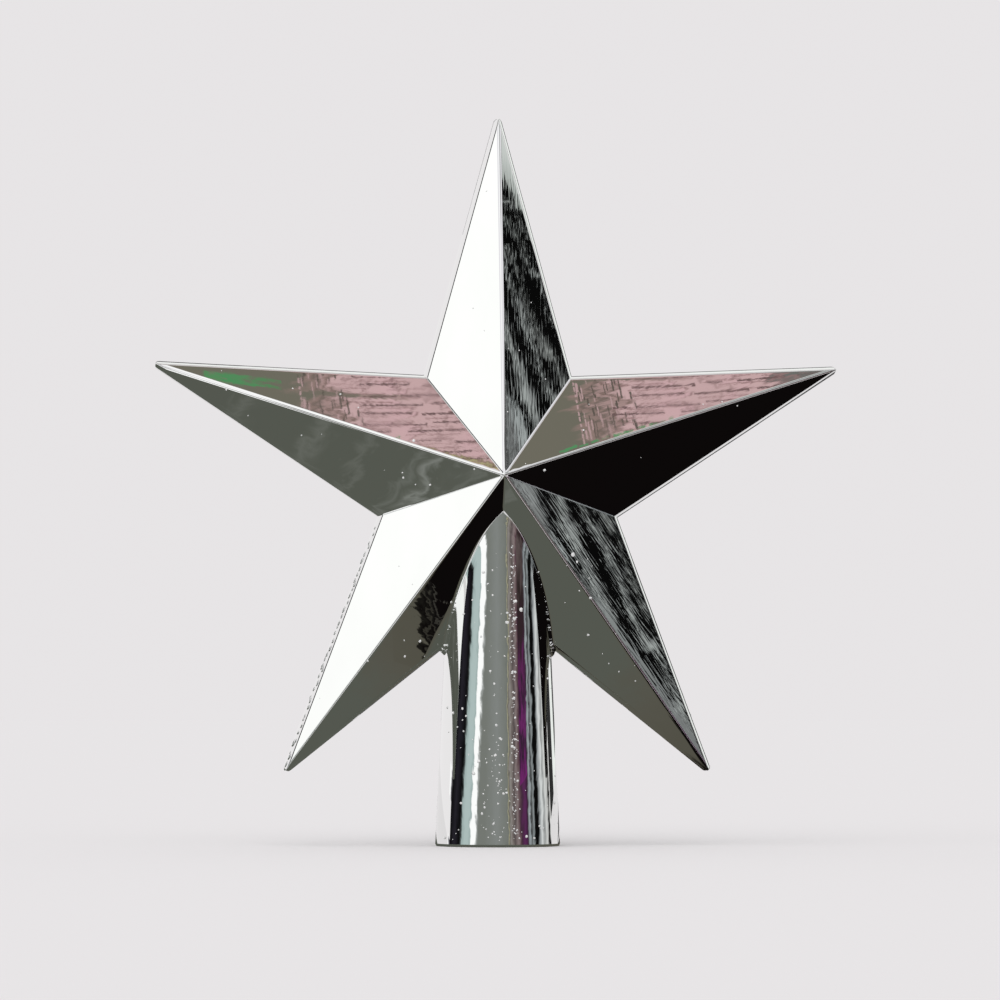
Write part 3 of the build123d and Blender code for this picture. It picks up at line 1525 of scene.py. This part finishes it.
@dataclass
class BoardLines:
    """Broken thin lines in front of the far cards above, like joints and cracks in old boards.

    Places are angles, as on a card.

    Attributes:
        joint_run: Where the joints start and end, from left to right.
        joint_foot: Elevation of the lowest joint, with the step to the next and how far one strays.
        deep_every: One joint in so many is deep, and the others are faint.
        crack_side: Left end of the cracks, with how far right and how high they lie.
        crack_order: Dark cracks in each run of so many, of which the others are pale chips.
        leaf_foot: Elevation of the lowest leaf at the leaves' left end, with how far up they lie.
    """

    seed: int = 7
    distance: float = 5.0
    step: float = 0.5
    joint_count: int = 34
    joint_run: Range = (12.2, 20.5)
    joint_inset: Range = (0.0, 1.2)
    joint_foot: float = 59.72
    joint_rise: float = 0.048
    joint_stray: float = 0.028
    joint_pivot: float = 12.3
    joint_lean: float = -0.09
    joint_length: Range = (0.5, 2.2)
    deep_every: int = 3
    deep_thickness: Range = (0.014, 0.03)
    deep_gap: Range = (0.1, 0.5)
    faint_thickness: Range = (0.008, 0.018)
    faint_gap: Range = (0.1, 1.4)
    crack_count: int = 100
    crack_side: float = 11.4
    crack_reach: float = 1.8
    crack_power: float = 1.2
    crack_order: tuple[int, int] = (3, 5)
    crack_heights: Range = (60.1, 61.5)
    crack_width: Range = (0.02, 0.06)
    crack_length: Range = (0.04, 0.22)
    chip_heights: Triple = (60.1, 61.3, 0.09)
    chip_width: float = 0.05
    chip_length: Range = (0.03, 0.08)
    leaf_count: int = 44
    leaf_run: Range = (10.6, 14.1)
    leaf_foot: float = 60.03
    leaf_pivot: float = 10.67
    leaf_lean: float = 0.036
    leaf_stray: float = 0.05
    leaf_length: Range = (0.06, 0.3)
    leaf_thickness: Range = (0.012, 0.03)

    def __post_init__(self) -> None:
        """Starts the lines' own series of random numbers."""
        self.random = np.random.default_rng(self.seed)

    def stroke(self, turn: float, height: float, wide: Range, high: Range) -> Patch:
        """One line from its lower left corner, with its width and height drawn from two ranges."""
        return (turn, turn + self.random.uniform(*wide)), (height, height + self.random.uniform(*high))

    def joints(self) -> tuple[list[Patch], list[Patch]]:
        """Draws the joints.

        Returns:
            The deep ones and the faint ones.
        """
        draw = self.random
        deep, faint = [], []
        start, end = self.joint_run
        for number in range(self.joint_count):
            place = start + draw.uniform(*self.joint_inset)
            found, thickness, gap = faint, self.faint_thickness, self.faint_gap
            if number % self.deep_every == 0:
                found, thickness, gap = deep, self.deep_thickness, self.deep_gap
            while place < end:
                level = self.joint_foot + self.joint_rise * number
                stray = draw.uniform(-self.joint_stray, self.joint_stray)
                height = level + stray + self.joint_lean * (place - self.joint_pivot)
                found.append(self.stroke(place, height, self.joint_length, thickness))
                place = found[-1][0][1] + draw.uniform(*gap)
        return deep, faint

    def cracks(self) -> tuple[list[Patch], list[Patch]]:
        """Draws upright cracks at the joints' left end.

        Returns:
            The cracks, and the pale chips between them.
        """
        cracks, chips = [], []
        dark, of_each = self.crack_order
        for number in range(self.crack_count):
            turn = self.crack_side + self.crack_reach * self.random.random() ** self.crack_power
            height = self.random.uniform(*self.crack_heights)
            found = cracks if number % of_each < dark else chips
            found.append(self.stroke(turn, height, self.crack_width, self.crack_length))
        side = (self.crack_side, self.crack_side + self.chip_width)
        for height in np.arange(*self.chip_heights):
            chips.append((side, (height, height + self.random.uniform(*self.chip_length))))
        return cracks, chips

    def leaves(self) -> list[Patch]:
        """Draws thin green lines below the joints.

        Returns:
            The lines.
        """
        found = []
        for _ in range(self.leaf_count):
            turn = self.random.uniform(*self.leaf_run)
            level = self.leaf_foot + self.leaf_lean * (turn - self.leaf_pivot)
            height = level + self.leaf_stray * self.random.random()
            found.append(self.stroke(turn, height, self.leaf_length, self.leaf_thickness))
        return found

    def cards(self) -> list[Card]:
        """Lists the lines.

        Returns:
            One card for each kind.
        """
        deep, faint = self.joints()
        cracks, chips = self.cracks()
        kinds = (
            ("card_joints", deep, (0.16, 0.1, 0.1), self.joint_lean),
            ("card_faint_joints", faint, (0.33, 0.205, 0.205), self.joint_lean),
            ("card_cracks", cracks, (0.12, 0.1, 0.085), 0.0),
            ("card_chips", chips, (0.5, 0.34, 0.345), 0.0),
            ("card_leaves", self.leaves(), (0.1, 0.3, 0.13), self.leaf_lean),
        )
        return [
            Card(name, *lines[0], CardFinish.plain(tone), self.distance, self.step, lean, more=tuple(lines[1:]))
            for name, lines, tone, lean in kinds
        ]


@dataclass
class Studio:
    """Pale floor that meets a pale surround, soft light, and cards for the plating to mirror.

    Attributes:
        pale: Tone of the floor and of the surround.
        outline: Tone of the cards that draw the rims' outline.
        mirror_share: Share of a tone that is left after the plating has mirrored it.
        floor_size: Width of the floor in metres.
        card_level: Height of the cards that lie on the floor.
        sun_turn: Turns of the light about the first two axes, in degrees.
        sun_width: Angle that the light takes up in the sky, in degrees.
    """

    pale: Colour = (0.80, 0.78, 0.79)
    outline: Colour = grey(0.08)
    mirror_share: float = 0.885
    surround_light: float = 0.72
    sun_strength: float = 1.06
    sun_turn: Range = (28.0, -18.0)
    sun_width: float = 70.0
    floor_size: float = 60.0
    card_level: float = -0.04

    def cards(self) -> list[Card]:
        """Lists the cards that stand round the topper.

        Returns:
            All of them, in no special order.
        """
        return [
            *self.socket_cards(), *self.facet_cards(), *self.upper_cards(), *BoardLines().cards(), *self.edge_cards()
        ]

    def socket_cards(self) -> list[Card]:
        """Lists the low bands of upright stripes in front, which the socket draws together.

        Returns:
            The bands, and a plum-coloured patch before one of them.
        """
        black, white, slate, pale_slate = grey(0.004), grey(1.1), (0.196, 0.208, 0.19), (0.24, 0.254, 0.244)
        sea, sea_shade, dim_plum = (0.46, 0.56, 0.55), (0.36, 0.45, 0.44), (0.03, 0.016, 0.03)
        left = (
            (-122, white), (-103, white), (-101, (0.2, 0.19, 0.22)),
            (-98, black), (-88, (0.02, 0.018, 0.025)), (-76, black), (-73, (0.06, 0.07, 0.07)),
            (-71, sea_shade), (-66, sea), (-58, sea), (-55, sea_shade),
            (-53, white), (-45, white), (-43, (0.4, 0.42, 0.41)), (-40, slate), (-20, slate),
        )
        front = (
            (-30, slate), (-8, pale_slate), (10, slate), (13, (0.17, 0.18, 0.165)), (14.5, (0.42, 0.4, 0.27)),
            (16, (0.13, 0.12, 0.1)), (18, (0.28, 0.26, 0.245)), (22, (0.2, 0.17, 0.16)), (26, (0.1, 0.08, 0.08)),
            (31, (0.25, 0.2, 0.2)), (36, (0.12, 0.07, 0.08)), (40, (0.06, 0.025, 0.05)), (46, (0.11, 0.026, 0.1)),
            (53, (0.04, 0.015, 0.035)), (55, (0.2, 0.22, 0.23)), (58, (0.36, 0.4, 0.42)), (60, grey(0.03)),
            (65, (0.3, 0.33, 0.34)), (68, black), (75, black), (79, (0.3, 0.32, 0.33)), (86, (0.75, 0.77, 0.77)),
            (91, (0.3, 0.31, 0.31)), (97, (0.7, 0.71, 0.7)), (103, (0.5, 0.5, 0.49)), (106, black), (109, black),
            (111, (0.8, 0.8, 0.78)),
        )
        plum = (
            (-1.0, (0.17, 0.022, 0.15)), (0.0, dim_plum), (0.6, (0.16, 0.024, 0.14)), (1.3, dim_plum),
            (2.0, (0.12, 0.022, 0.1)), (2.8, (0.04, 0.018, 0.03)), (4.0, (0.03, 0.02, 0.02)),
            (6.0, (0.12, 0.09, 0.09)), (8.0, (0.22, 0.19, 0.19)),
        )
        low = (-5.6, 8.0)
        return [
            Card("card_left_band", (-112, -30), low, CardFinish(left, (1.0, -2.0), 7.0, (0.1, 2.0), 0.4)),
            Card("card_front_band", (-30, 112), low, CardFinish(front, (1.0, 0.0), 7.0, (0.1, 2.0), 0.4)),
            Card("card_front_plum", (37, 53), (-1, 8), CardFinish(plum, (0.0, 1.0), 2.0, (0.35, 1.4)), 0.97, 1.0),
        ]

    def facet_cards(self) -> list[Card]:
        """Lists the cards that whole facets mirror: white on the left, streaked black on the right.

        Returns:
            The cards.
        """
        black, dark, dim, bright = grey(0.003), grey(0.02), (0.2, 0.21, 0.21), (0.42, 0.45, 0.44)
        dusk, mist = (0.18, 0.19, 0.19), (0.26, 0.28, 0.28)
        streaks = (
            (262.0, black),
            *streak(black, (266.0, 266.4, 267.0, 267.3), (0.35, 0.37, 0.37), dim),
            *streak(black, (268.9, 269.2, 269.8, 270.1), (0.36, 0.38, 0.38), dim),
            *streak(black, (271.6, 271.8, 272.3, 272.6), bright, dim),
            *streak(black, (274.6, 274.8, 275.1, 275.3), bright, dim),
            *streak(black, (276.3, 276.5, 276.7), (0.36, 0.38, 0.37)),
            *streak(black, (278.4, 278.5, 278.6), (0.5, 0.53, 0.52)),
            (282.0, black),
        )
        tip_tones = (
            (146.0, black),
            *streak(black, (149.5, 149.6, 149.75), (0.26, 0.28, 0.27)),
            *streak(black, (150.2, 150.28, 150.36), (0.36, 0.38, 0.37)),
            (150.95, black), (151.05, (0.42, 0.45, 0.43)), (152.0, (0.62, 0.65, 0.63)), (154.0, (0.7, 0.72, 0.7)),
        )
        foot_tones = (
            (264.0, dusk), (268.2, grey(0.08)), (268.8, (0.32, 0.34, 0.34)),
            *streak(grey(0.05), (269.4, 270.0, 270.6), (0.24, 0.25, 0.25)),
            (271.3, (0.38, 0.41, 0.41)), (272.3, (0.36, 0.39, 0.39)), (272.7, dark), (273.3, black), (273.5, dusk),
            (273.8, dark), (274.2, mist), (274.5, grey(0.03)), (275.0, mist), (282.0, dim),
        )
        along_streaks = ((4.0, 1.0), 1.8, (1.5, 0.3), 0.5, 3.0)
        tip = CardFinish(tip_tones, (2.0, 1.0), 0.5, (4.0, 0.9), 0.5, 3.0)
        sheet = ((0.0, (1.07, 1.07, 1.06)), (1.0, (1.14, 1.14, 1.13)))
        white = CardFinish(sheet, (0.0, 0.04), 0.8, (0.6, 0.25))
        foot, right = (CardFinish(tones, *along_streaks) for tones in (foot_tones, streaks))
        return [
            Card("card_left_white", (-60, -42), (9, 36), white),
            Card("card_left_dark", (-104, -61), (9, 36), CardFinish.plain(dark)),
            Card("card_right_foot", (62.4, 66.6), (12.5, 18.85), foot, 0.99, 1.0, -2.2),
            Card("card_right_streaked", (60, 70), (8.5, 21.2), right),
            Card("card_right_tip", (60, 70), (21.2, 30), tip),
            Card("card_right_dark", (70.5, 97), (8.5, 20), CardFinish.plain(dark)),
        ]

    def upper_cards(self) -> list[Card]:
        """Lists the far cards above, brown to pink with a green patch, which the side points' upper facets mirror.

        Returns:
            The cards, without the thin lines in front of them.
        """
        pink, flush, dark_pink = (0.62, 0.42, 0.425), (0.66, 0.43, 0.45), (0.25, 0.15, 0.15)
        brown, slate, straw = (0.172, 0.162, 0.128), (0.16, 0.165, 0.155), (0.5, 0.46, 0.24)
        wood_tones = (
            (5.0, (0.2, 0.15, 0.13)), (8.2, brown), (11.3, brown), (11.8, (0.32, 0.22, 0.2)),
            (12.0, (0.16, 0.13, 0.11)), (12.3, (0.46, 0.31, 0.3)), (12.5, (0.2, 0.14, 0.12)), (12.8, pink),
            *streak(pink, (13.38, 13.45, 13.52), dark_pink), (14.5, flush), (14.57, dark_pink), (14.64, pink),
            *streak(pink, (15.58, 15.65, 15.72), dark_pink), (16.6, flush), (16.67, dark_pink), (16.74, pink),
            (17.5, pink), (17.6, dark_pink), *streak(slate, (17.7, 18.0, 18.1), (0.34, 0.2, 0.2)),
            (24.0, (0.2, 0.205, 0.195)),
        )
        leaf_tones = (
            (7.6, (0.1, 0.26, 0.12)), (8.6, (0.08, 0.3, 0.11)), (9.0, (0.2, 0.2, 0.15)), (9.15, (0.07, 0.3, 0.11)),
            (9.9, (0.1, 0.28, 0.12)), (10.05, brown), (10.25, (0.09, 0.27, 0.11)), (10.5, (0.14, 0.2, 0.12)),
            (10.7, brown), (11.6, brown),
        )
        moss_tones = (
            (59.5, (0.56, 0.52, 0.26)), *streak(straw, (60.04, 60.07, 60.1), (0.22, 0.17, 0.12)),
            (60.14, (0.24, 0.17, 0.13)), (60.17, pink),
        )
        lath_tones = (
            (11.0, brown), (13.0, (0.2, 0.17, 0.14)), (13.3, (0.4, 0.28, 0.26)), (13.9, (0.22, 0.18, 0.15)),
            (14.4, (0.44, 0.3, 0.29)), (15.2, pink),
        )
        wood = CardFinish(wood_tones, (1.0, 0.0), 1.6, (0.5, 8.0), 0.3)
        leaf = CardFinish(leaf_tones, (1.0, 0.0), 1.9, (0.7, 15.0))
        moss = CardFinish(moss_tones, (0.0, 1.0), 0.1, (7.0, 16.0))
        lath = CardFinish(lath_tones, (1.0, 0.0), 1.2, (1.2, 14.0))
        return [
            Card("card_above_wood", (-14, 40), (57.5, 74), wood, 5.2),
            Card("card_above_leaf", (8.5, 10.9), (61.48, 61.63), leaf, 5.1, 0.3, -0.11),
            Card("card_above_moss", (14.3, 17.6), (59.5, 60.16), moss, 5.1, 0.3, -0.237),
            Card("card_above_lath", (11.7, 15.0), (61.08, 61.15), lath, 5.05, 0.3, -0.112),
            Card("card_rear_above", (150, 215), (52, 78), CardFinish.plain((0.3, 0.26, 0.25))),
        ]

    def edge_cards(self) -> list[Card]:
        """Lists the cards that only ridges, valleys and rims mirror.

        Returns:
            The cards.
        """
        board = tuple(tone / self.mirror_share for tone in self.pale)
        left_and_low = (((180, 196), (15, 30)), ((147, 157), (-4, 8)))
        even = (
            ("card_front_lilac", (-42, 59.5), (8.3, 46), (0.86, 0.84, 0.88), 1.0),
            ("card_valley_dark", (-44, -15), (30, 52), (0.1, 0.1, 0.095), 0.95),
            ("card_ridge_white", (-14, 2), (9, 52), grey(1.1), 0.96),
            ("card_ridge_near", (-44, -33), (-2.5, 13), grey(1.1), 0.19),
            ("card_ridge_grey", (16, 34), (25.5, 52), (0.36, 0.38, 0.37), 0.96),
            ("card_ridge_low", (12, 59.5), (8.2, 20), grey(0.1), 0.96),
            ("card_rear_left", (-168, -106), (-4, 40), board, 1.0),
            ("card_rear_right", (131, 168), (-4, 30), (0.9, 0.93, 0.9), 1.0),
            ("card_rear_dark", (113, 130), (-4, 36), grey(0.03), 1.0),
            ("card_rear_white", (150, 210), (30.5, 50), (0.93, 0.93, 0.92), 1.0),
        )
        return [
            *(Card(name, turn, lift, CardFinish.plain(tone), distance) for name, turn, lift, tone, distance in even),
            Card("card_rear_outline", (157, 180), (-4, 24), CardFinish.plain(self.outline), 0.95, more=left_and_low),
        ]

    def floor_cards(self) -> None:
        """Lays the cards on the floor: one from olive to black, a white one, a stain by the socket and an outline."""
        olive, smear, wisp = (0.1, 0.107, 0.089), (0.14, 0.147, 0.128), (0.22, 0.23, 0.21)
        umber, black = (0.102, 0.098, 0.078), (0.004, 0.003, 0.003)
        tones = (
            (-420, olive),
            *streak(olive, (-150, -147, -144), smear),
            *streak(olive, (-122, -118, -114), smear),
            *streak(olive, (-104, -101, -99), smear),
            *streak(olive, (-86, -84, -82), wisp),
            (-78, smear), (-75, wisp), (-73, olive),
            *streak(olive, (-69, -67, -65), wisp),
            (0, olive), (18, umber), (42, (0.092, 0.087, 0.067)), (44, (0.02, 0.018, 0.014)),
            (46, black), (420, black),
        )
        stain_tones = (
            (-8, (0.098, 0.093, 0.073)), (1.2, (0.094, 0.089, 0.069)), (1.9, (0.012, 0.011, 0.009)), (4.2, black),
            (4.9, (0.042, 0.039, 0.031)), (5.6, (0.01, 0.009, 0.008)),
            *streak(black, (7.2, 7.9, 8.6), (0.05, 0.047, 0.04)), (15, black),
        )
        spots = [
            (-900, -126), (-107, -126), (-238, -280), (0, -280), (0, -500), (900, -500),
            (900, 130), (0, 130), (0, 220), (-900, 220),
        ]
        beside = [(-420, -281), (-420, -130), (-112, -130), (-240, -281)]
        by_socket = [(52, -86), (38, -72), (19, -45), (23, -41), (34, -40), (52, -50)]
        behind = [(4, 135), (40, 135), (60, 240), (330, 240), (420, 900), (4, 900)]
        self.lay_card("card_floor", spots, CardFinish(tones, (1.0, 0.0), 13.0, (0.09, 0.09), 0.8, 5.0))
        self.lay_card("card_floor_white", beside, CardFinish.plain(grey(1.12)))
        stain = CardFinish(stain_tones, (0.848, 0.53), 7.0, (0.26, 0.2), 0.4, 7.0)
        self.lay_card("card_floor_stain", by_socket, stain, 0.01)
        self.lay_card("card_floor_outline", behind, CardFinish.plain(self.outline))

    def lay_card(self, name: str, spots: list[Range], finish: CardFinish, rise: float = 0.0) -> None:
        """Lays a flat card just over the floor.

        Args:
            name: Name of the card.
            spots: Its corners.
            finish: Its tones.
            rise: Its height over the cards that lie lowest.
        """
        mesh = bmesh.new()
        layer = mesh.loops.layers.uv.new("angles")
        face = mesh.faces.new([mesh.verts.new(Vector((*spot, rise + self.card_level)) * MM) for spot in spots])
        for loop, spot in zip(face.loops, spots):
            loop[layer].uv = spot
        set_stage(name, finished(mesh, name, finish.material(name)), Reach.REFLECTIONS)

    def floor(self, height: float) -> None:
        """Lays the floor.

        Args:
            height: Height of the topper's lowest point.
        """
        mesh = bmesh.new()
        bmesh.ops.create_grid(mesh, x_segments=1, y_segments=1, size=self.floor_size / 2)
        mesh.transform(Matrix.Translation((0, 0, height)))
        set_stage("floor", finished(mesh, "floor", PaleBoard(self.pale).material("pale_board")), Reach.ALL)

    def surround(self) -> None:
        """Sets the surround: the floor's own tone to the eye and in the plating, soft white light otherwise."""
        world = bpy.data.worlds.new("surround")
        bpy.context.scene.world = world
        world.use_nodes = True
        nodes = Nodes(world.node_tree)
        seen = nodes.add("Background", {"Color": (*self.pale, 1.0), "Strength": 1.0})
        shed = nodes.add("Background", {"Color": (1.0, 1.0, 1.0, 1.0), "Strength": self.surround_light})
        path = nodes.add("LightPath").outputs
        direct = nodes.maths("MAXIMUM", path["Is Camera Ray"], path["Is Glossy Ray"])
        shown = nodes.maths("MAXIMUM", direct, path["Is Transmission Ray"])
        mixed = nodes.add("MixShader", {0: shown, 1: shed.outputs[0], 2: seen.outputs[0]})
        nodes.add("OutputWorld", {"Surface": mixed.outputs[0]})

    def sun(self) -> None:
        """Hangs one broad soft light, high on the left."""
        data = bpy.data.lights.new("broad_light", "SUN")
        data.energy = self.sun_strength
        data.angle = math.radians(self.sun_width)
        lamp = bpy.data.objects.new("broad_light", data)
        lamp.rotation_euler = (*map(math.radians, self.sun_turn), 0)
        lamp.visible_glossy = False
        bpy.context.scene.collection.objects.link(lamp)

    def build(self, height: float) -> None:
        """Sets up the studio.

        Args:
            height: Height of the topper's lowest point.
        """
        self.floor(height)
        self.floor_cards()
        for card in self.cards():
            card.build()
        self.surround()
        self.sun()
        bpy.context.scene.view_settings.view_transform = "Standard"


@dataclass
class ShopCamera:
    """Camera a little left of the star's front and a little below its middle."""

    azimuth: float = -6.5
    elevation: float = -2.6
    distance: float = 1.3
    lens: float = 170.35
    sensor: float = 36.0
    clip: Range = (0.05, 200.0)
    target: Triple = (0.0, 0.0, 0.1)
    aim_right: float = 0.00066
    aim_up: float = -0.00533

    def build(self) -> bpy.types.Object:
        """Places the camera.

        Returns:
            The camera.
        """
        turn, lift = math.radians(self.azimuth), math.radians(self.elevation)
        back = Vector((math.sin(turn) * math.cos(lift), -math.cos(turn) * math.cos(lift), math.sin(lift)))
        facing = (-back).to_track_quat("-Z", "Y")
        data = bpy.data.cameras.new("camera")
        data.lens = self.lens
        data.sensor_width = self.sensor
        data.clip_start, data.clip_end = self.clip
        camera = bpy.data.objects.new("camera", data)
        aside = facing @ Vector((self.aim_right, self.aim_up, 0.0))
        camera.location = Vector(self.target) + back * self.distance + aside
        camera.rotation_mode = "QUATERNION"
        camera.rotation_quaternion = facing
        bpy.context.scene.collection.objects.link(camera)
        bpy.context.scene.camera = camera
        return camera


def main() -> None:
    """Builds the topper's looks and the scene round it."""
    logging.basicConfig(level=logging.INFO, format="%(name)s: %(message)s")
    ShopCamera().build()
    for name in Mouldings().dress():
        LOG.info("dressed %s", name)
    # The pimples' finish is a painted highlight: a near-white colour that stands in for their glints.
    silver, painted_glint = SilverPlating().material("silver_plating"), PaintedGlintSilver().material("painted_glint_silver")
    pieces = Plating().build(silver)
    for number, side in enumerate(Side):
        pieces += Lumps(side, FIRST_SEED + number).build(silver, painted_glint)
    for piece in pieces:
        LOG.info("built %s with %d faces", piece.name, len(piece.data.polygons))
    Studio().build(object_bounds()[0].z)


if __name__ == "__main__":
    main()
